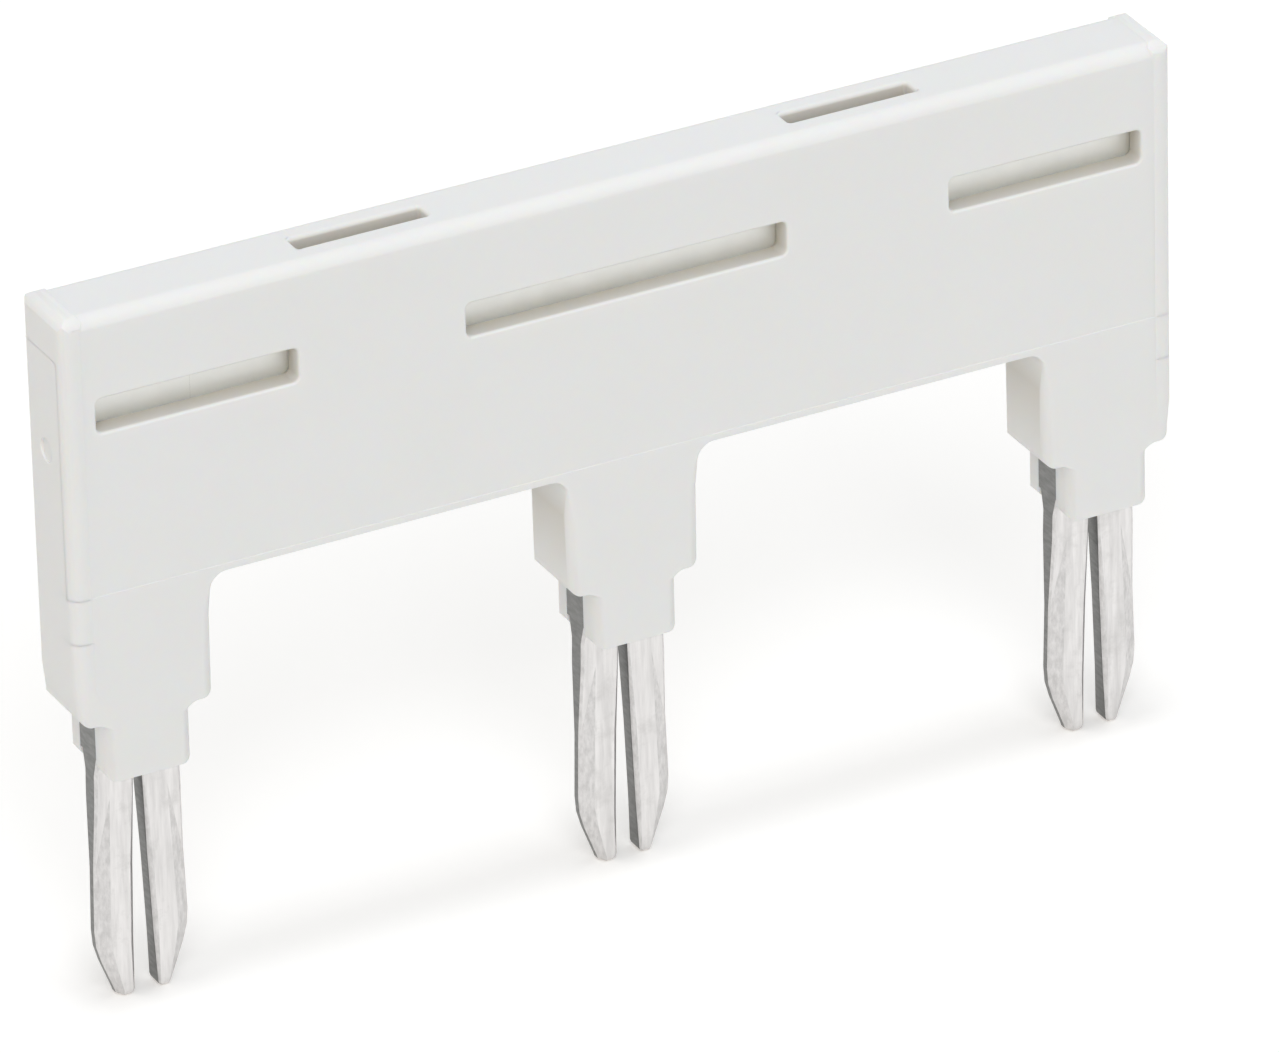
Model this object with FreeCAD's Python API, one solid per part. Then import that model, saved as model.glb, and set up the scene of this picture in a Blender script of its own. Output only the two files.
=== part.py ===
import FreeCAD, Part
import math
import os

# Plug-in jumper bar that links three neighbouring relay sockets of a terminal row.
# A stamped metal comb is moulded into a plastic bar; its three split forks plug in below.
# Millimetres. +X runs along the bar, +Y through its thickness and +Z up, away from the sockets.
# The origin is in the middle of the plan, level with the tips of the forks.

# The row of forks
FORKS = 3
PITCH = 15.0

# Heights above the fork tips
NECK_BOTTOM = 7.3
LEG_BOTTOM = 9.15
ARCH_HEIGHT = 12.9
BAR_TOP = 21.55

# Bar, whose faces start a little above the arches
BAR_DEPTH = 2.4
BAR_TOP_R = 0.42
FACE_STEP_RISE = 0.2

# Legs, whose faces stand a hair proud of the faces of the bar
LEG_WIDTH = 4.04
LEG_DEPTH = 2.43
LEG_DRAFT = 0.6
LEG_CORNER_R = 0.38
LEG_EDGE_R = 0.3
ARCH_R = 0.48
RUNOUT_START = 0.8
RUNOUT_R = 0.12

# Necks, two plastic cheeks with the metal between them
NECK_WIDTH = 2.6
NECK_CORNER_R = 0.33
NECK_FLARE_R = 0.25

# Beads that wrap the two ends of the bar
RIM_WIDTH = 0.75
RIM_PROUD = 0.05
RIM_FOOT_RISE = 0.8
RIM_OUTER_R = 0.35
RIM_INNER_R = 0.3
RIM_TOP_R = 0.45

# Windows through both faces to the metal, and the slots in the top
WINDOW_DROP = 2.51
WINDOW_HEIGHT = 1.02
WINDOW_CORNER_R = 0.18
WINDOW_PIER = 5.11
WINDOW_END_WALL = 0.98
SLOT_LENGTH = 3.96
SLOT_WIDTH = 0.6
SLOT_CENTRE = 7.54

# Ejector dimple in each end face
DIMPLE_R = 0.36
DIMPLE_DEPTH = 0.07
DIMPLE_DROP = 4.3

# Stamped comb, with its spine set in from the arches and from the top of the bar
SHEET = 1.0
SPINE_RISE = 1.5
SPINE_DROP = 1.55
SPINE_CORNER_R = 0.3
BLADE_ROOT_R = 0.5

# Shoulder where the blade is coined down to the tines
SHOULDER_TOP = 7.7
SHOULDER_FOOT = 7.1
TINE_DEPTH = 0.67

# Tines, measured from the middle of their fork
TINE_INNER_ROOT = 0.1
TINE_INNER_SPLAY = 1.95
TINE_OUTER_ROOT = 1.277
TINE_OUTER_SPLAY = 1.63
COINING_TOP = 6.3
COINING_RUN = 2.2
TAPER_START = 1.65
TAPER_BLEND = 0.5
TIP_OUTER = 0.9
TIP_ROUND = 0.18
TIP_THINNING = 0.6

# Bevels of the tines: corner size at the slit and outside, and how the coining thins the outer edge
SOFT_INNER = 0.05
SOFT_CORNER = 0.08
COINED_INNER = 0.12
COINED_FACE_WIDTH = 0.36
COINED_EDGE_SHARE = 0.3
COINED_CORNER = 0.05

# Facets of the roundings whose radius changes with height
CORNER_STEPS = 5
FLARE_STEPS = 5
THIN_EDGE = 0.02

FACE_STEP = ARCH_HEIGHT + FACE_STEP_RISE
WINDOW_TOP = BAR_TOP - WINDOW_DROP
WINDOW_BOTTOM = WINDOW_TOP - WINDOW_HEIGHT
DIMPLE_HEIGHT = BAR_TOP - DIMPLE_DROP
SPINE_BOTTOM = ARCH_HEIGHT + SPINE_RISE
SPINE_TOP = BAR_TOP - SPINE_DROP
LEG_HALF = LEG_WIDTH / 2
LEG_TOP_HALF = LEG_HALF + (ARCH_HEIGHT - LEG_BOTTOM) * math.tan(math.radians(LEG_DRAFT))
CENTRES = [(i - (FORKS - 1) / 2) * PITCH for i in range(FORKS)]
RIM_END = CENTRES[-1] + LEG_TOP_HALF + RIM_PROUD
BAR_END = RIM_END - RIM_WIDTH / 2
RIM_FOOT = LEG_BOTTOM + LEG_CORNER_R
RIM_HALF_DEPTH = BAR_DEPTH / 2 + RIM_PROUD


def xz(x, z, y=0.0):
    return FreeCAD.Vector(x, y, z)


def xy(x, y, z=0.0):
    return FreeCAD.Vector(x, y, z)


def yz(y, z, x=0.0):
    return FreeCAD.Vector(x, y, z)


def rounded_face(corners, plane, offset):
    """Flat face whose corners are (a, b, radius) in the given plane; radius 0 keeps a corner sharp."""
    points = [plane(a, b, offset) for a, b, _ in corners]
    edges = []
    ends = []
    for i, corner in enumerate(corners):
        here = points[i]
        radius = corner[2]
        back = (points[i - 1] - here).normalize()
        ahead = (points[(i + 1) % len(points)] - here).normalize()
        if radius == 0:
            ends.append((here, here, None))
            continue
        half = back.getAngle(ahead) / 2
        run = radius / math.tan(half)
        inward = (back + ahead).normalize()
        middle = here + inward * (radius / math.sin(half) - radius)
        ends.append((here + back * run, here + ahead * run, middle))
    for i, (start, stop, middle) in enumerate(ends):
        if middle is not None:
            edges.append(Part.Arc(start, middle, stop).toShape())
        following = ends[(i + 1) % len(ends)][0]
        if stop.distanceToPoint(following) > 1e-6:
            edges.append(Part.makeLine(stop, following))
    return Part.Face(Part.Wire(edges))


def slab(corners, half_depth):
    """Outline in the XZ plane, extruded the same way to the front and to the back."""
    return rounded_face(corners, xz, -half_depth).extrude(FreeCAD.Vector(0, 2 * half_depth, 0))


def rounded_section(z, left, right, half_depth, radii):
    """Corner points of a rounded rectangle; radii are those of its left-hand and right-hand corners."""
    corners = [(left, -1, radii[0], 180), (right, -1, radii[1], 270),
               (right, 1, radii[1], 0), (left, 1, radii[0], 90)]
    points = []
    for x, face, radius, start in corners:
        inward = 1 if x == left else -1
        centre_x = x + inward * radius
        centre_y = face * (half_depth - radius)
        for step in range(CORNER_STEPS + 1):
            turn = math.radians(start + 90 * step / CORNER_STEPS)
            points.append(xy(centre_x + radius * math.cos(turn), centre_y + radius * math.sin(turn), z))
    return points


def flat_face(points):
    return Part.Face(Part.makePolygon(points + points[:1]))


def column(sections):
    """Upright solid through sections with the same number of points, with straight walls between."""
    faces = [flat_face(sections[0]), flat_face(sections[-1])]
    for low, high in zip(sections, sections[1:]):
        for i in range(len(low)):
            quad = [low[i - 1], low[i], high[i], high[i - 1]]
            normal = (quad[1] - quad[0]).cross(quad[3] - quad[0]).normalize()
            if abs((quad[2] - quad[0]).dot(normal)) < 1e-7:
                faces.append(flat_face(quad))
            else:
                faces += [flat_face(quad[:3]), flat_face([quad[0], quad[2], quad[3]])]
    return Part.Solid(Part.Shell(faces))


def flare_sections(left, right, radius, z_top, half_depth, edge_r, sides):
    """Sections that widen in a quarter circle up to z_top; on the sides that widen the edge rounding runs out."""
    sections = []
    for i in range(1, FLARE_STEPS + 1):
        turn = math.radians(90 * i / FLARE_STEPS)
        grow = radius * (1 - math.cos(turn))
        z = z_top - radius + radius * math.sin(turn)
        thin = max(edge_r * (1 - math.sin(turn)), THIN_EDGE)
        edges = [thin if side else LEG_EDGE_R for side in sides]
        sections.append(rounded_section(z, left - grow * sides[0], right + grow * sides[1], half_depth, edges))
    return sections


def round_foot(body, centre, sides, radius):
    """Keeps the part of a column inside its own (half width, height) outline, with rounded lower corners."""
    left = [(centre - half, z) for half, z in reversed(sides)]
    right = [(centre + half, z) for half, z in sides]
    corners = [(x, z, radius if z == sides[0][1] else 0) for x, z in left + right]
    return body.common(slab(corners, RIM_HALF_DEPTH))


def leg_half(z):
    return LEG_HALF + (z - LEG_BOTTOM) * math.tan(math.radians(LEG_DRAFT))


def leg(centre):
    """Drafted leg whose edge rounding runs out upwards, where the leg flares into its arches."""
    flare_z = ARCH_HEIGHT - ARCH_R
    sides = (int(centre > CENTRES[0]), int(centre < CENTRES[-1]))
    sections = []
    for z, edge in ((LEG_BOTTOM, LEG_EDGE_R), (flare_z - RUNOUT_START, LEG_EDGE_R), (flare_z, RUNOUT_R)):
        half = leg_half(z)
        edges = [edge if side else LEG_EDGE_R for side in sides]
        sections.append(rounded_section(z, centre - half, centre + half, LEG_DEPTH / 2, edges))
    sections += flare_sections(centre - leg_half(flare_z), centre + leg_half(flare_z), ARCH_R, ARCH_HEIGHT,
                               LEG_DEPTH / 2, RUNOUT_R, sides)
    outline = [(LEG_HALF, LEG_BOTTOM), (leg_half(flare_z), flare_z), (leg_half(flare_z) + ARCH_R, ARCH_HEIGHT)]
    return round_foot(column(sections), centre, outline, LEG_CORNER_R)


def neck(centre):
    """Narrower neck below a leg; the metal and the gap below it take the middle of its thickness."""
    left = centre - NECK_WIDTH / 2
    right = centre + NECK_WIDTH / 2
    sections = [rounded_section(z, left, right, LEG_DEPTH / 2, (LEG_EDGE_R, LEG_EDGE_R))
                for z in (NECK_BOTTOM, LEG_BOTTOM - NECK_FLARE_R)]
    sections += flare_sections(left, right, NECK_FLARE_R, LEG_BOTTOM, LEG_DEPTH / 2, LEG_EDGE_R, (1, 1))
    flare_z = LEG_BOTTOM - NECK_FLARE_R
    outline = [(NECK_WIDTH / 2, NECK_BOTTOM), (NECK_WIDTH / 2, flare_z),
               (NECK_WIDTH / 2 + NECK_FLARE_R, LEG_BOTTOM)]
    return round_foot(column(sections), centre, outline, NECK_CORNER_R)


def channels():
    """Gaps between the cheeks at the foot of each neck, open below the shoulders of the metal."""
    rise = SHOULDER_TOP - NECK_BOTTOM
    starts = [FreeCAD.Vector(centre - NECK_WIDTH / 2, -SHEET / 2, NECK_BOTTOM) for centre in CENTRES]
    return [Part.makeBox(NECK_WIDTH, SHEET, rise, start) for start in starts]


def bar():
    """Bar with rounded top edges, and the thinner strip under its faces that spans the arches."""
    half_depth = BAR_DEPTH / 2
    profile = [(-half_depth, FACE_STEP, 0), (half_depth, FACE_STEP, 0),
               (half_depth, BAR_TOP, BAR_TOP_R), (-half_depth, BAR_TOP, BAR_TOP_R)]
    body = rounded_face(profile, yz, -BAR_END).extrude(FreeCAD.Vector(2 * BAR_END, 0, 0))
    strip = Part.makeBox(2 * BAR_END, LEG_DEPTH, FACE_STEP - ARCH_HEIGHT,
                         FreeCAD.Vector(-BAR_END, -LEG_DEPTH / 2, ARCH_HEIGHT))
    return body.fuse(strip)


def rim(side):
    """Rounded bead over one end of the bar, fading into the outer leg at its foot."""
    inner = RIM_END - RIM_WIDTH
    top = BAR_TOP + RIM_PROUD
    bead = (RIM_INNER_R, RIM_OUTER_R)
    sections = [rounded_section(RIM_FOOT, inner, CENTRES[-1] + leg_half(RIM_FOOT), LEG_DEPTH / 2,
                                (THIN_EDGE, LEG_EDGE_R)),
                rounded_section(RIM_FOOT + RIM_FOOT_RISE, inner, RIM_END, RIM_HALF_DEPTH, bead),
                rounded_section(top, inner, RIM_END, RIM_HALF_DEPTH, bead)]
    body = column(sections)
    across = [(-RIM_HALF_DEPTH, RIM_FOOT, 0), (RIM_HALF_DEPTH, RIM_FOOT, 0),
              (RIM_HALF_DEPTH, top, RIM_TOP_R), (-RIM_HALF_DEPTH, top, RIM_TOP_R)]
    body = body.common(rounded_face(across, yz, inner).extrude(FreeCAD.Vector(RIM_WIDTH, 0, 0)))
    along = [(inner, RIM_FOOT, 0), (RIM_END, RIM_FOOT, 0), (RIM_END, top, RIM_TOP_R), (inner, top, RIM_INNER_R)]
    body = body.common(slab(along, RIM_HALF_DEPTH))
    dimple = Part.makeCylinder(DIMPLE_R, DIMPLE_DEPTH, FreeCAD.Vector(RIM_END, 0, DIMPLE_HEIGHT),
                               FreeCAD.Vector(-1, 0, 0))
    body = body.cut(dimple)
    return body if side > 0 else body.mirror(FreeCAD.Vector(0, 0, 0), FreeCAD.Vector(1, 0, 0))


def windows():
    """Prisms for the row of windows, cut through both walls as far as the metal."""
    ends = [-(RIM_END - WINDOW_END_WALL)]
    for left, right in zip(CENTRES, CENTRES[1:]):
        middle = (left + right) / 2
        ends += [middle - WINDOW_PIER / 2, middle + WINDOW_PIER / 2]
    ends.append(RIM_END - WINDOW_END_WALL)
    prisms = []
    for left, right in zip(ends[::2], ends[1::2]):
        corners = [(x, z, WINDOW_CORNER_R) for x, z in
                   ((left, WINDOW_BOTTOM), (right, WINDOW_BOTTOM), (right, WINDOW_TOP), (left, WINDOW_TOP))]
        for face in (-1, 1):
            opening = rounded_face(corners, xz, face * SHEET / 2)
            prisms.append(opening.extrude(FreeCAD.Vector(0, face * RIM_HALF_DEPTH, 0)))
    return prisms


def slots():
    """Narrow slots in the top, over the piers between the windows, down to the spine."""
    cutters = []
    for side in (-1, 1):
        start = FreeCAD.Vector(side * SLOT_CENTRE - SLOT_LENGTH / 2, -SLOT_WIDTH / 2, SPINE_TOP)
        cutters.append(Part.makeBox(SLOT_LENGTH, SLOT_WIDTH, BAR_TOP - SPINE_TOP + RIM_PROUD, start))
    return cutters


def comb_plate():
    """Flat spine and blades of the comb, down to the shoulder above the tines."""
    half = NECK_WIDTH / 2
    end = CENTRES[-1] + half
    corners = [(end, SPINE_TOP, SPINE_CORNER_R), (-end, SPINE_TOP, SPINE_CORNER_R)]
    for centre in CENTRES:
        if centre > CENTRES[0]:
            corners.append((centre - half, SPINE_BOTTOM, BLADE_ROOT_R))
        corners += [(centre - half, SHOULDER_TOP, 0), (centre + half, SHOULDER_TOP, 0)]
        if centre < CENTRES[-1]:
            corners.append((centre + half, SPINE_BOTTOM, BLADE_ROOT_R))
    return slab(corners, SHEET / 2)


def tine_section(z, inner, outer, half_depth, slit_bevel, face_width, edge_half, corner):
    """Ten-sided section of a tine, bevelled beside the slit and thinner along its outer edge."""
    front = [(inner, half_depth - slit_bevel), (inner + slit_bevel, half_depth),
             (outer - corner - face_width, half_depth), (outer - corner, edge_half + corner),
             (outer, edge_half)]
    return [xy(x, -y, z) for x, y in front] + [xy(x, y, z) for x, y in reversed(front)]


def tine():
    """Right-hand tine of a fork: shoulder, plain root, coined length, tapered and rounded tip."""
    inner_spread = math.tan(math.radians(TINE_INNER_SPLAY))
    outer_spread = math.tan(math.radians(TINE_OUTER_SPLAY))
    half = TINE_DEPTH / 2
    tip_inner = TINE_INNER_ROOT + (SHOULDER_TOP - TIP_ROUND) * inner_spread

    def inner(z):
        return min(TINE_INNER_ROOT + (SHOULDER_TOP - z) * inner_spread, tip_inner)

    def outer(z):
        return TINE_OUTER_ROOT + (SHOULDER_TOP - z) * outer_spread

    def tapered(z):
        return TIP_OUTER + (outer(TAPER_START) - TIP_OUTER) * (z - TIP_ROUND) / (TAPER_START - TIP_ROUND)

    def plain(z, half_depth):
        return tine_section(z, inner(z), outer(z), half_depth, SOFT_INNER, COINED_FACE_WIDTH,
                            half_depth - SOFT_CORNER, SOFT_CORNER)

    def coined(z, inset, reach, half_depth):
        left = inner(z) + inset
        right = reach - inset
        share = (right - left) / (outer(TAPER_START) - inner(TAPER_START))
        return tine_section(z, left, right, half_depth, COINED_INNER * share, COINED_FACE_WIDTH * share,
                            half_depth * COINED_EDGE_SHARE, COINED_CORNER * share)

    above = TAPER_START + TAPER_BLEND
    below = TAPER_START - TAPER_BLEND
    blended = (outer(above) + 2 * outer(TAPER_START) + tapered(below)) / 4
    sections = [plain(SHOULDER_TOP, SHEET / 2), plain(SHOULDER_FOOT, half), plain(COINING_TOP, half),
                coined(COINING_TOP - COINING_RUN, 0, outer(COINING_TOP - COINING_RUN), half),
                coined(above, 0, outer(above), half), coined(TAPER_START, 0, blended, half),
                coined(below, 0, tapered(below), half)]
    for turn in (0, 30, 60, 90):
        inset = TIP_ROUND * (1 - math.cos(math.radians(turn)))
        z = TIP_ROUND * (1 - math.sin(math.radians(turn)))
        sections.append(coined(z, inset, TIP_OUTER, half - inset * TIP_THINNING))
    return column(sections)


def contact_comb():
    body = comb_plate()
    right = tine()
    left = right.mirror(FreeCAD.Vector(0, 0, 0), FreeCAD.Vector(1, 0, 0))
    pieces = []
    for centre in CENTRES:
        for prong in (left, right):
            placed = prong.copy()
            placed.translate(FreeCAD.Vector(centre, 0, 0))
            pieces.append(placed)
    return body.fuse(pieces).removeSplitter()


def insulating_housing(comb):
    """Moulding round the comb: everything outside the metal, face to face with it."""
    pieces = [rim(-1), rim(1)]
    for centre in CENTRES:
        pieces += [leg(centre), neck(centre)]
    body = bar().fuse(pieces).removeSplitter()
    body = body.cut(windows() + slots() + channels())
    return body.cut(comb)


os.makedirs("parts", exist_ok=True)
metal = contact_comb()
plastic = insulating_housing(metal)
for name, shape in (("contact_comb", metal), ("insulating_housing", plastic)):
    shape.exportStep(os.path.join("parts", name + ".step"))
    box = shape.BoundBox
    print(name, "solids", len(shape.Solids), "valid", shape.isValid(), "volume", round(shape.Volume, 2),
          "x", round(box.XMin, 3), round(box.XMax, 3), "y", round(box.YMin, 3), round(box.YMax, 3),
          "z", round(box.ZMin, 3), round(box.ZMax, 3))
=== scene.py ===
import math

import bpy
import bmesh
from mathutils import Matrix, Vector

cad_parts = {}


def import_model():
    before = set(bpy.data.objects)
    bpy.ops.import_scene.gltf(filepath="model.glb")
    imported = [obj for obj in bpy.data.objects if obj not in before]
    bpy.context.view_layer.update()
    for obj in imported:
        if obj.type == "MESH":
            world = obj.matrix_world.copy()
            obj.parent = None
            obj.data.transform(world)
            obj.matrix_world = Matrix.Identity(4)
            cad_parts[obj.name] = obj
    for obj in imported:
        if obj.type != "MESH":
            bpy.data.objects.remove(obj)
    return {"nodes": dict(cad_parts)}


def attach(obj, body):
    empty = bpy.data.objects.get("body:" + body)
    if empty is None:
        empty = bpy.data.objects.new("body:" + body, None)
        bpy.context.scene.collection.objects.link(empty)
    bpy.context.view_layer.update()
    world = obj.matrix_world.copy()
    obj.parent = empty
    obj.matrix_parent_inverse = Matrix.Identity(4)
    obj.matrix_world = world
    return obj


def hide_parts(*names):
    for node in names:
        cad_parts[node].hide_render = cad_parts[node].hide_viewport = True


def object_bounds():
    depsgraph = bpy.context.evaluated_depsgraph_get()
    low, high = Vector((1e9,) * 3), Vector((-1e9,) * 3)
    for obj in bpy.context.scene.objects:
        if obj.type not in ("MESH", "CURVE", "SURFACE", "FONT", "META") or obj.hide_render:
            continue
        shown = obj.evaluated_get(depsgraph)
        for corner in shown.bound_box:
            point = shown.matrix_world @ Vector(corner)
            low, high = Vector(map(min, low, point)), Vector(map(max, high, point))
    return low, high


# Looks of a plug-in jumper bar: a plastic bar moulded round a stamped and tin-plated metal comb.
# Both pieces are finished copies of the solids: rounded rims, broken edges, mould lines and materials.
# Metres. +X runs along the bar, -Y is its front and +Z points from the fork tips to the top of the bar.

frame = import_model()
cad_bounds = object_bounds()

MM = 0.001

# Colours of the moulding as they are seen, sRGB
PLASTIC = "#F1EFEC"
PLASTIC_WARM = "#EFEDE8"
# Painted shade: the warmer, darker colour mixed into the moulding deep in its windows and slots and under its
# arches
PLASTIC_PAINTED_SHADE = "#CBC3B4"

# Colours of the metal: forks, coined slopes, rolled strip and sheared edges
TIN_BRIGHT = "#E9E7E6"
TIN_DULL = "#D4D2D1"
TIN_STAIN = "#BEBCBA"
COINED_BRIGHT = "#DDDBDA"
COINED_DULL = "#C6C4C3"
ROLLED_BRIGHT = "#F2F2EE"
ROLLED_DULL = "#E4E4E0"
TIN_EDGE = "#626261"
TIN_EDGE_PALE = "#A0A09E"

# Widths of the clouds and streaks in the finishes; the grain is drawn coarser than it is, so that it shows
PLASTIC_CLOUD = 3.0 * MM
SPARK_GRAIN = 0.05 * MM
ROLLING_STREAK = 0.2 * MM
TIN_CLOUD = 0.7 * MM
COINED_CLOUD = 0.13 * MM
ROLLED_CLOUD = 0.9 * MM
SHEAR_STREAK = 0.12 * MM

# Heights of their relief
FINE_RELIEF = 0.004 * MM
COINED_RELIEF = 0.005 * MM
SHEAR_RELIEF = 0.006 * MM

# Roundings of the edges
MOULD_EDGE_R = 0.025 * MM
COMB_EDGE_R = 0.012 * MM
WINDOW_LIP_R = 0.085 * MM
WINDOW_GAP = 0.08 * MM
SLOT_LIP_R = 0.12 * MM
SLOT_CORNER_R = 0.1 * MM

# Angles between faces in degrees: still flat, edge broken, shaded sharp, edge of an opening
FLAT_ANGLE = 0.5
BREAK_ANGLE = 32
SMOOTH_ANGLE = 34
RIM_ANGLE = 40

# Distance at which points are merged, and the play left when a place is looked for
MERGE = 0.0005 * MM
NEAR = 0.02 * MM

# Directions of edges, as the share of their length along an axis
LEANING = 0.5
UPRIGHT = 0.9

# Ends, beads and top of the moulding, from the frame; the beads stand proud of the top
END_X = cad_bounds[1][0]
BEAD_FACE_Y = cad_bounds[1][1]
BEAD_PROUD = 0.05 * MM
BAR_TOP = cad_bounds[1][2] - BEAD_PROUD
BAR_FACE_Y = 1.2 * MM
METAL_FACE_Y = 0.5 * MM

# Windows, where the outer half of their wall starts, and slots with a little play round them
WINDOW_TOP = BAR_TOP - 2.51 * MM
WINDOW_BOTTOM = WINDOW_TOP - 1.02 * MM
OUTER_WALL_Y = 1.0 * MM
SLOT_HALF_WIDTH = 0.31 * MM
SLOT_REACH = 2.05 * MM
SLOT_RIM_REACH = 0.05 * MM
TOP_SKIN = 0.002 * MM

# Arches: how far from the middle their inner faces reach, and the heights between which their painted shade
# grows
ARCH_REACH_X = 16.6 * MM
ARCH_REACH_Y = 1.0 * MM
ARCH_LOW = 9.2 * MM
ARCH_TOP = 12.95 * MM

# How the painted warm shade grows with depth; a power under 1 darkens close to the surface
SLOT_SHADE_DEPTH = 0.6 * MM
WINDOW_SHADE_POWER = 0.7
SLOT_SHADE_POWER = 0.6
ARCH_SHADE_POWER = 2
ARCH_SHADE_MOST = 1.3

# Fine lines that the joints of the mould leave on the end faces and round the end beads
LINE_R = 0.006 * MM
END_LINE_SINK = 0.00377 * MM
END_LINE_BACK_Y = 1.05 * MM
END_LINE_FRONT_Y = -0.86 * MM
END_LINE_TOP = 20.25 * MM
END_LINE_FOOT = 13.0 * MM
BEAD_CORNER_R = 0.35 * MM
BEAD_LINE_R = 0.3432 * MM
BEAD_LINE_HEIGHTS = (13.1 * MM, 11.75 * MM)
BEAD_LINE_BACK_Y = -0.4 * MM
BEAD_LINE_INNER_X = 16.5 * MM
BEAD_LINE_STEP = 15

# Fine mark across the metal in the left window
METAL_LINE_X = -13.0 * MM
METAL_LINE_Y = -0.497 * MM

# Metal: where the plain rolled strip starts, and how far sheared edges and coined slopes face sideways
STRIP_Z = 9.2 * MM
SHEARED_FACING = 0.8
COINED_FACING = 0.15

# Table and its colours: to the eye, the lift that keeps it white, and what it throws back on the object
TABLE_SIZE = 3.0
TABLE_DROP = 0.02 * MM
FLOOR = "#F3F1EE"
FLOOR_LIFT_COLOUR = "#FFF9F1"
FLOOR_LIFT = 0.23
FLOOR_BOUNCE = "#D5D3CF"

# Surroundings: strength at the horizon and overhead, and what the two sides add from where they start
SKY_LOW = 0.74
SKY_HIGH = 0.38
SKY_LEFT = "#FFFDFB"
SKY_LEFT_START = 0.2
SKY_LEFT_MORE = 0.2
SKY_RIGHT = "#F2F8FF"
SKY_RIGHT_START = 0.25
SKY_RIGHT_MORE = 0.42

# Lamps: where each stands as seen from the object, strength, and width in degrees
LAMP_COLOUR = "#F8FBFF"
KEY_TOWARD = (-0.28, -0.68, 0.68)
KEY_STRENGTH = 1.0
KEY_SPREAD = 35
OVERHEAD_TOWARD = (-0.03, -0.04, 1.0)
OVERHEAD_STRENGTH = 0.55
OVERHEAD_SPREAD = 9

# Camera that sees what the photograph shows; angles in degrees, lens and sensor in millimetres
AZIMUTH = 27.061
ELEVATION = 28.058
ROLL = -1.483
DISTANCE = 374.215 * MM
AIM_RIGHT = 0.1674 * MM
AIM_UP = -9.4403 * MM
AIM_FROM_Y = -1.15 * MM
LENS = 386.7
SENSOR = 36.0
NEAREST_SEEN = 0.01
FARTHEST_SEEN = 10


def linear(code):
    """Linear RGBA of an sRGB hex colour."""
    values = []
    for i in (1, 3, 5):
        part = int(code[i:i + 2], 16) / 255
        values.append(part / 12.92 if part <= 0.04045 else ((part + 0.055) / 1.055) ** 2.4)
    return (*values, 1.0)


def node(tree, kind, inputs=None, **settings):
    """Adds a node; inputs maps a socket's name or number to a value or to another node's output."""
    made = tree.nodes.new(kind)
    for name, value in settings.items():
        setattr(made, name, value)
    for key, value in (inputs or {}).items():
        if isinstance(value, bpy.types.NodeSocket):
            tree.links.new(value, made.inputs[key])
        else:
            made.inputs[key].default_value = value
    return made


def new_material(name):
    material = bpy.data.materials.new(name)
    material.use_nodes = True
    tree = material.node_tree
    tree.nodes.clear()
    return material, tree


def finish_material(tree, surface):
    node(tree, "ShaderNodeOutputMaterial", {"Surface": surface})


def finish_metal(tree, colour, relief, strength, height, roughness):
    """Ends a metal: its colour, with a fine relief under it."""
    bump = node(tree, "ShaderNodeBump", {"Strength": strength, "Distance": height, "Height": relief})
    shader = node(tree, "ShaderNodeBsdfPrincipled",
                  {"Base Color": colour, "Metallic": 1.0, "Roughness": roughness,
                   "Normal": bump.outputs["Normal"]})
    finish_material(tree, shader.outputs["BSDF"])


def moulded_plastic():
    """Light grey glass-filled nylon, injection moulded in a fine spark-eroded tool.

    The eye sees a soft satin grey with no sharp reflection and a grain that only shows as a faint break-up
    of the highlights. Light passes a little way through the wall, and deep in the openings painted shade
    makes the grey darker and warmer.
    """
    material, tree = new_material("moulded_nylon")
    place = node(tree, "ShaderNodeTexCoord")
    cloud = node(tree, "ShaderNodeTexNoise", {"Vector": place.outputs["Object"], "Scale": 1 / PLASTIC_CLOUD,
                                              "Detail": 2.0, "Roughness": 0.5})
    tint = node(tree, "ShaderNodeMix", {"Factor": cloud.outputs["Fac"], "A": linear(PLASTIC),
                                        "B": linear(PLASTIC_WARM)}, data_type="RGBA")
    # Painted shade: darker, warmer colour mixed in by the depth stored on the moulding's corners
    painted_shade_depth = node(tree, "ShaderNodeAttribute", attribute_name="painted_shade_depth")
    painted_shade_amount = node(tree, "ShaderNodeClamp", {"Value": painted_shade_depth.outputs["Fac"]})
    tint_with_painted_shade = node(tree, "ShaderNodeMix", {"Factor": painted_shade_amount.outputs["Result"], "A": tint.outputs["Result"],
                                        "B": linear(PLASTIC_PAINTED_SHADE)}, data_type="RGBA")
    grain = node(tree, "ShaderNodeTexNoise", {"Vector": place.outputs["Object"], "Scale": 1 / SPARK_GRAIN,
                                              "Detail": 2.0, "Roughness": 0.6})
    bump = node(tree, "ShaderNodeBump", {"Strength": 0.12, "Distance": FINE_RELIEF,
                                         "Height": grain.outputs["Fac"]})
    shader = node(tree, "ShaderNodeBsdfPrincipled",
                  {"Base Color": tint_with_painted_shade.outputs["Result"], "Roughness": 0.48, "IOR": 1.5,
                   "Subsurface Weight": 0.6, "Subsurface Radius": (1.0, 0.75, 0.5),
                   "Subsurface Scale": 0.2 * MM, "Normal": bump.outputs["Normal"]})
    finish_material(tree, shader.outputs["BSDF"])
    return material


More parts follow.
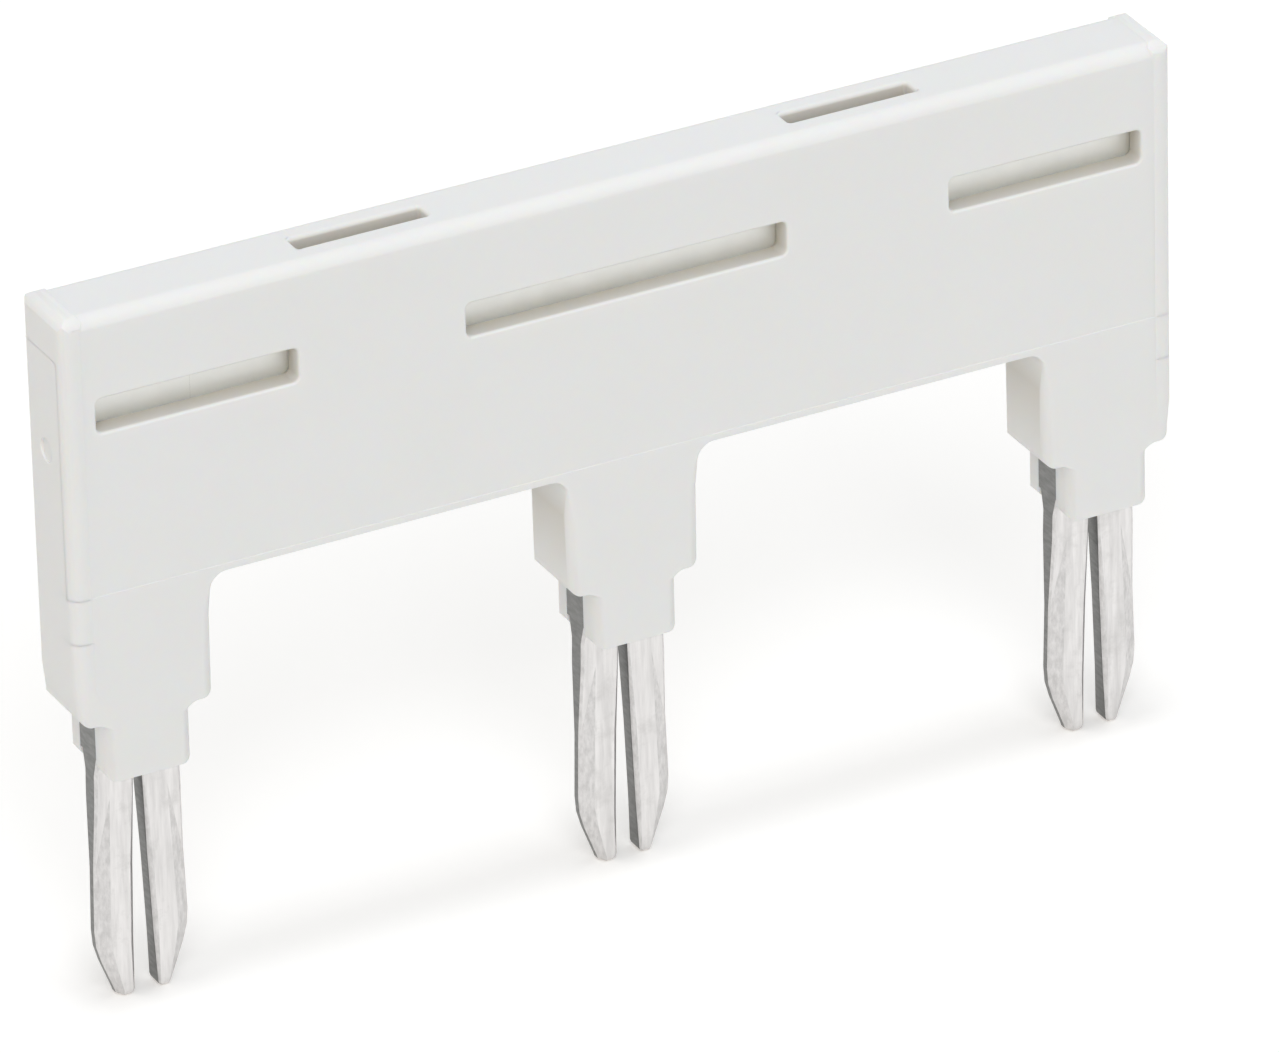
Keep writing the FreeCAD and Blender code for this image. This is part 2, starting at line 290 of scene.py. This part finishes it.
def tin_plate():
    """Bright tin plating on the forks.

    The eye sees a pale silver with soft reflections, faint streaks up and down the forks from the
    rolling, and grey clouds where the plating has been rubbed.
    """
    material, tree = new_material("bright_tin_plate")
    place = node(tree, "ShaderNodeTexCoord")
    stretch = node(tree, "ShaderNodeMapping", {"Vector": place.outputs["Object"], "Scale": (1.0, 1.0, 0.1)})
    streak = node(tree, "ShaderNodeTexNoise", {"Vector": stretch.outputs["Vector"],
                                               "Scale": 1 / ROLLING_STREAK, "Detail": 3.0, "Roughness": 0.6})
    bands = node(tree, "ShaderNodeMapRange", {"Value": streak.outputs["Fac"], "From Min": 0.3,
                                              "From Max": 0.68})
    tone = node(tree, "ShaderNodeMix", {"Factor": bands.outputs["Result"], "A": linear(TIN_DULL),
                                        "B": linear(TIN_BRIGHT)}, data_type="RGBA")
    cloud = node(tree, "ShaderNodeTexNoise", {"Vector": place.outputs["Object"], "Scale": 1 / TIN_CLOUD,
                                              "Detail": 5.0, "Roughness": 0.65})
    patch = node(tree, "ShaderNodeMapRange", {"Value": cloud.outputs["Fac"], "From Min": 0.52,
                                              "From Max": 0.8, "To Min": 0.0, "To Max": 0.6})
    stained = node(tree, "ShaderNodeMix", {"Factor": patch.outputs["Result"], "A": tone.outputs["Result"],
                                           "B": linear(TIN_STAIN)}, data_type="RGBA")
    finish_metal(tree, stained.outputs["Result"], streak.outputs["Fac"], 0.12, FINE_RELIEF, 0.4)
    return material


def coined_plate():
    """Tin plating on the slopes that the coining die squeezed, rubbed dull and mottled.

    The eye sees a darker, cloudy band along the outer edges of the forks.
    """
    material, tree = new_material("coined_tin_plate")
    place = node(tree, "ShaderNodeTexCoord")
    stretch = node(tree, "ShaderNodeMapping", {"Vector": place.outputs["Object"], "Scale": (1.0, 1.0, 0.4)})
    cloud = node(tree, "ShaderNodeTexNoise", {"Vector": stretch.outputs["Vector"],
                                              "Scale": 1 / COINED_CLOUD, "Detail": 5.0, "Roughness": 0.65})
    patch = node(tree, "ShaderNodeMapRange", {"Value": cloud.outputs["Fac"], "From Min": 0.35,
                                              "From Max": 0.65})
    tone = node(tree, "ShaderNodeMix", {"Factor": patch.outputs["Result"], "A": linear(COINED_DULL),
                                        "B": linear(COINED_BRIGHT)}, data_type="RGBA")
    finish_metal(tree, tone.outputs["Result"], cloud.outputs["Fac"], 0.2, COINED_RELIEF, 0.42)
    return material


def rolled_plate():
    """Tin plating on the strip as it was rolled, seen where the moulding leaves the metal bare.

    The eye sees an even, slightly dull silver with hardly any streaks.
    """
    material, tree = new_material("rolled_tin_plate")
    place = node(tree, "ShaderNodeTexCoord")
    cloud = node(tree, "ShaderNodeTexNoise", {"Vector": place.outputs["Object"], "Scale": 1 / ROLLED_CLOUD,
                                              "Detail": 4.0, "Roughness": 0.55})
    tone = node(tree, "ShaderNodeMix", {"Factor": cloud.outputs["Fac"], "A": linear(ROLLED_DULL),
                                        "B": linear(ROLLED_BRIGHT)}, data_type="RGBA")
    finish_metal(tree, tone.outputs["Result"], cloud.outputs["Fac"], 0.1, FINE_RELIEF, 0.5)
    return material


def sheared_edge():
    """Cut edge of the stamping, where the punch tore through the strip before it was plated.

    The eye sees a duller, darker grey with fine streaks across the thickness.
    """
    material, tree = new_material("sheared_tin_edge")
    place = node(tree, "ShaderNodeTexCoord")
    stretch = node(tree, "ShaderNodeMapping", {"Vector": place.outputs["Object"], "Scale": (1.0, 0.25, 1.0)})
    streak = node(tree, "ShaderNodeTexNoise", {"Vector": stretch.outputs["Vector"],
                                               "Scale": 1 / SHEAR_STREAK, "Detail": 3.0, "Roughness": 0.65})
    tone = node(tree, "ShaderNodeMix", {"Factor": streak.outputs["Fac"], "A": linear(TIN_EDGE),
                                        "B": linear(TIN_EDGE_PALE)}, data_type="RGBA")
    finish_metal(tree, tone.outputs["Result"], streak.outputs["Fac"], 0.3, SHEAR_RELIEF, 0.5)
    return material


def deselect_all():
    for thing in bpy.context.selected_objects:
        thing.select_set(False)


def make_active(thing):
    deselect_all()
    thing.select_set(True)
    bpy.context.view_layer.objects.active = thing


def apply_modifier(thing, kind, **settings):
    modifier = thing.modifiers.new(kind.title(), kind)
    for name, value in settings.items():
        setattr(modifier, name, value)
    make_active(thing)
    bpy.ops.object.modifier_apply(modifier=modifier.name)


def solid_copy(name, cad_node):
    """Merged copy of a CAD node, with its flat faces whole again."""
    source = frame["nodes"][cad_node]
    mesh = source.data.copy()
    mesh.name = name
    mesh.materials.clear()
    piece = bpy.data.objects.new(name, mesh)
    bpy.context.scene.collection.objects.link(piece)
    make_active(piece)
    bpy.ops.object.mode_set(mode="EDIT")
    bpy.ops.mesh.select_all(action="SELECT")
    bpy.ops.mesh.remove_doubles(threshold=MERGE)
    bpy.ops.mesh.dissolve_limited(angle_limit=math.radians(FLAT_ANGLE))
    bpy.ops.object.mode_set(mode="OBJECT")
    return piece


def soften(piece, width):
    """Breaks the sharp edges by a hair and keeps the flat faces flat to the eye."""
    apply_modifier(piece, "BEVEL", width=width, segments=2, limit_method="ANGLE",
                   angle_limit=math.radians(BREAK_ANGLE))
    make_active(piece)
    bpy.ops.object.shade_smooth_by_angle(angle=math.radians(SMOOTH_ANGLE))
    apply_modifier(piece, "WEIGHTED_NORMAL", keep_sharp=True, weight=60)


def round_edges(piece, wanted, width, segments):
    """Rounds the sharp edges whose middle and direction pass the test."""
    make_active(piece)
    bpy.ops.object.mode_set(mode="EDIT")
    bpy.ops.mesh.select_mode(type="EDGE")
    bpy.ops.mesh.select_all(action="DESELECT")
    edit = bmesh.from_edit_mesh(piece.data)
    for edge in edit.edges:
        if len(edge.link_faces) == 2 and edge.calc_face_angle() > math.radians(RIM_ANGLE):
            start, end = (vertex.co for vertex in edge.verts)
            edge.select_set(wanted((start + end) / 2, (end - start).normalized()))
    bmesh.update_edit_mesh(piece.data)
    bpy.ops.mesh.bevel(offset=width, offset_type="OFFSET", segments=segments, affect="EDGES",
                       loop_slide=False)
    bpy.ops.object.mode_set(mode="OBJECT")


def in_window(at):
    return WINDOW_BOTTOM - NEAR < at.z < WINDOW_TOP + NEAR


def in_slot(at):
    return at.z > BAR_TOP - SLOT_REACH and abs(at.y) < SLOT_HALF_WIDTH


def on_slot_wall(at):
    """Whether a place is on a wall of a slot, once its rim is rounded."""
    below_top = BAR_TOP - SLOT_REACH < at.z < BAR_TOP - TOP_SKIN
    return below_top and abs(at.y) < SLOT_HALF_WIDTH + SLOT_LIP_R


def runs_across(along):
    """Whether an edge runs more through the wall than along it."""
    return abs(along.y) >= LEANING


def window_lip(at, along):
    return in_window(at) and abs(at.y) > OUTER_WALL_Y and not runs_across(along)


def window_gap(at, along):
    return in_window(at) and abs(abs(at.y) - METAL_FACE_Y) < NEAR and not runs_across(along)


def slot_corner(at, along):
    return in_slot(at) and abs(along.z) > UPRIGHT


def slot_lip(at, along):
    return in_slot(at) and at.z > BAR_TOP - SLOT_RIM_REACH and abs(along.z) < LEANING


def window_depth(at):
    """0 at the face of the bar, 1 at the metal."""
    return max((BAR_FACE_Y - abs(at.y)) / (BAR_FACE_Y - METAL_FACE_Y), 0)


def arch_height(at):
    """0 at the foot of a leg, 1 under the bar."""
    return max((at.z - ARCH_LOW) / (ARCH_TOP - ARCH_LOW), 0)


def paint_recess_shade(piece):
    """Stores the painted shade of each corner of the moulding, which grows with how deep in a window, slot or
    arch it lies; 0 at the surface.
    """
    painted_shade = piece.data.attributes.new("painted_shade_depth", "FLOAT", "POINT")
    for vertex, stored in zip(piece.data.vertices, painted_shade.data):
        at = vertex.co
        if in_window(at):
            stored.value = window_depth(at) ** WINDOW_SHADE_POWER
        elif on_slot_wall(at):
            stored.value = max((BAR_TOP - at.z) / SLOT_SHADE_DEPTH, 0) ** SLOT_SHADE_POWER
        elif abs(at.x) < ARCH_REACH_X and abs(at.y) < ARCH_REACH_Y and ARCH_LOW < at.z < ARCH_TOP:
            stored.value = ARCH_SHADE_MOST * arch_height(at) ** ARCH_SHADE_POWER


def fine_line(points):
    """Fine raised line through the points, as a mesh."""
    curve = bpy.data.curves.new("fine_line", "CURVE")
    curve.dimensions = "3D"
    curve.bevel_depth = LINE_R
    curve.bevel_resolution = 1
    spline = curve.splines.new("POLY")
    spline.points.add(len(points) - 1)
    for target, point in zip(spline.points, points):
        target.co = (*point, 1.0)
    line = bpy.data.objects.new("fine_line", curve)
    bpy.context.scene.collection.objects.link(line)
    make_active(line)
    bpy.ops.object.convert(target="MESH")
    return bpy.context.object


def end_line(side):
    """Line on an end face: across it near the top, then down beside its front edge."""
    x = side * (END_X - END_LINE_SINK)
    return [(x, END_LINE_BACK_Y, END_LINE_TOP), (x, END_LINE_FRONT_Y, END_LINE_TOP),
            (x, END_LINE_FRONT_Y, END_LINE_FOOT)]


def bead_line(side, z):
    """Line round the front corner of an end bead."""
    middle_x = END_X - BEAD_CORNER_R
    middle_y = BEAD_FACE_Y - BEAD_CORNER_R
    around = []
    for angle in range(0, 91, BEAD_LINE_STEP):
        turn = math.radians(angle)
        x = side * (middle_x + BEAD_LINE_R * math.cos(turn))
        around.append((x, -middle_y - BEAD_LINE_R * math.sin(turn), z))
    back = (around[0][0], BEAD_LINE_BACK_Y, z)
    inner = (side * BEAD_LINE_INNER_X, around[-1][1], z)
    return [back] + around + [inner]


def add_lines(piece, lines):
    """Joins fine lines into a piece."""
    made = [fine_line(points) for points in lines]
    make_active(piece)
    for line in made:
        line.select_set(True)
    bpy.ops.object.join()


def moulding():
    """Plastic bar: rounded rims at its windows and slots, broken edges, painted shade in its openings and
    under its arches, and mould lines.
    """
    piece = solid_copy("moulding", "insulating_housing")
    round_edges(piece, window_lip, WINDOW_LIP_R, 4)
    round_edges(piece, window_gap, WINDOW_GAP, 2)
    round_edges(piece, slot_corner, SLOT_CORNER_R, 4)
    round_edges(piece, slot_lip, SLOT_LIP_R, 5)
    soften(piece, MOULD_EDGE_R)
    # Painted shade deep in the windows and slots and under the arches
    paint_recess_shade(piece)
    ends = [end_line(side) for side in (-1, 1)]
    beads = [bead_line(side, z) for side in (-1, 1) for z in BEAD_LINE_HEIGHTS]
    add_lines(piece, ends + beads)
    piece.data.materials.append(moulded_plastic())
    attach(piece, "root")
    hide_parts("insulating_housing")


def finish_of(face):
    """Number of the finish that a face of the comb takes, in the order that comb() adds them."""
    if abs(face.normal.x) > SHEARED_FACING:
        return 1
    if face.center.z > STRIP_Z:
        return 2
    if abs(face.normal.x) > COINED_FACING:
        return 3
    return 0


def comb():
    """Metal comb: broken edges, and a finish for each way that its faces were made."""
    piece = solid_copy("stamped_comb", "contact_comb")
    soften(piece, COMB_EDGE_R)
    mark = [(METAL_LINE_X, METAL_LINE_Y, z) for z in (WINDOW_BOTTOM - NEAR, WINDOW_TOP + NEAR)]
    add_lines(piece, [mark])
    for finish in (tin_plate, sheared_edge, rolled_plate, coined_plate):
        piece.data.materials.append(finish())
    for face in piece.data.polygons:
        face.material_index = finish_of(face)
    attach(piece, "root")
    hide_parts("contact_comb")


def floor():
    """Pale table that reads as white and keeps the object's soft shadow."""
    deselect_all()
    bpy.ops.mesh.primitive_plane_add(size=TABLE_SIZE, location=(0, 0, -TABLE_DROP))
    table = bpy.context.object
    table.name = "table"
    material, tree = new_material("white_table")
    path = node(tree, "ShaderNodeLightPath")
    looked_at = node(tree, "ShaderNodeMath", {0: path.outputs["Is Camera Ray"],
                                              1: path.outputs["Is Glossy Ray"]}, operation="MAXIMUM")
    bounce = node(tree, "ShaderNodeBsdfDiffuse", {"Color": linear(FLOOR_BOUNCE)})
    matt = node(tree, "ShaderNodeBsdfDiffuse", {"Color": linear(FLOOR)})
    lift = node(tree, "ShaderNodeEmission", {"Color": linear(FLOOR_LIFT_COLOUR), "Strength": FLOOR_LIFT})
    seen = node(tree, "ShaderNodeAddShader", {0: matt.outputs["BSDF"], 1: lift.outputs["Emission"]})
    mixed = node(tree, "ShaderNodeMixShader", {"Fac": looked_at.outputs["Value"],
                                               1: bounce.outputs["BSDF"], 2: seen.outputs["Shader"]})
    finish_material(tree, mixed.outputs["Shader"])
    table.data.materials.append(material)


def world():
    """White studio, brighter at the horizon and at both sides, cooler on the right; white to the camera."""
    studio = bpy.data.worlds.new("studio")
    bpy.context.scene.world = studio
    studio.use_nodes = True
    tree = studio.node_tree
    tree.nodes.clear()
    path = node(tree, "ShaderNodeLightPath")
    direction = node(tree, "ShaderNodeTexCoord")
    axes = node(tree, "ShaderNodeSeparateXYZ", {"Vector": direction.outputs["Generated"]})
    height = node(tree, "ShaderNodeMapRange", {"Value": axes.outputs["Z"], "From Min": 0.0, "From Max": 1.0,
                                               "To Min": SKY_LOW, "To Max": SKY_HIGH})
    left = node(tree, "ShaderNodeMapRange", {"Value": axes.outputs["X"], "From Min": SKY_LEFT_START,
                                             "From Max": -1.0, "To Min": 0.0, "To Max": 1.0})
    right = node(tree, "ShaderNodeMapRange", {"Value": axes.outputs["X"], "From Min": SKY_RIGHT_START,
                                              "From Max": 1.0, "To Min": 0.0, "To Max": SKY_RIGHT_MORE})
    colour = node(tree, "ShaderNodeMix", {"Factor": left.outputs["Result"], "A": linear(SKY_RIGHT),
                                          "B": linear(SKY_LEFT)}, data_type="RGBA")
    with_right = node(tree, "ShaderNodeMath", {0: height.outputs["Result"], 1: right.outputs["Result"]})
    strength = node(tree, "ShaderNodeMath", {0: left.outputs["Result"], 1: SKY_LEFT_MORE,
                                             2: with_right.outputs["Value"]}, operation="MULTIPLY_ADD")
    fill = node(tree, "ShaderNodeBackground", {"Color": colour.outputs["Result"],
                                               "Strength": strength.outputs["Value"]})
    white = node(tree, "ShaderNodeBackground", {"Color": (1, 1, 1, 1), "Strength": 1.0})
    mixed = node(tree, "ShaderNodeMixShader", {"Fac": path.outputs["Is Camera Ray"],
                                               1: fill.outputs["Background"], 2: white.outputs["Background"]})
    node(tree, "ShaderNodeOutputWorld", {"Surface": mixed.outputs["Shader"]})


def lamp(name, toward, strength, spread):
    """Distant soft lamp; toward points from the object to it."""
    light = bpy.data.lights.new(name, "SUN")
    light.energy = strength
    light.color = linear(LAMP_COLOUR)[:3]
    light.angle = math.radians(spread)
    piece = bpy.data.objects.new(name, light)
    bpy.context.scene.collection.objects.link(piece)
    piece.rotation_euler = Vector(toward).to_track_quat("Z", "Y").to_euler()


def lamps():
    """A wide key from the upper front left, and a lamp overhead whose shadow lies under the forks."""
    lamp("key", KEY_TOWARD, KEY_STRENGTH, KEY_SPREAD)
    lamp("overhead", OVERHEAD_TOWARD, OVERHEAD_STRENGTH, OVERHEAD_SPREAD)


def camera():
    """Long lens at the photograph's angle, rolled a little as the photograph is."""
    a = math.radians(AZIMUTH)
    e = math.radians(ELEVATION)
    r = math.radians(ROLL)
    ahead = Vector((math.sin(a) * math.cos(e), math.cos(a) * math.cos(e), -math.sin(e)))
    right = Vector((math.cos(a), -math.sin(a), 0))
    up = right.cross(ahead)
    eye = right * AIM_RIGHT + up * AIM_UP - ahead * DISTANCE + Vector((0, AIM_FROM_Y, BAR_TOP))
    turned_right = right * math.cos(r) + up * math.sin(r)
    turned_up = up * math.cos(r) - right * math.sin(r)
    turn = Matrix((turned_right, turned_up, -ahead)).transposed().to_4x4()
    lens = bpy.data.cameras.new("camera")
    lens.lens = LENS
    lens.sensor_width = SENSOR
    lens.sensor_fit = "HORIZONTAL"
    lens.clip_start = NEAREST_SEEN
    lens.clip_end = FARTHEST_SEEN
    viewer = bpy.data.objects.new("camera", lens)
    bpy.context.scene.collection.objects.link(viewer)
    viewer.matrix_world = Matrix.Translation(eye) @ turn
    bpy.context.scene.camera = viewer


moulding()
comb()
floor()
world()
lamps()
camera()
bpy.context.scene.view_settings.view_transform = "Standard"
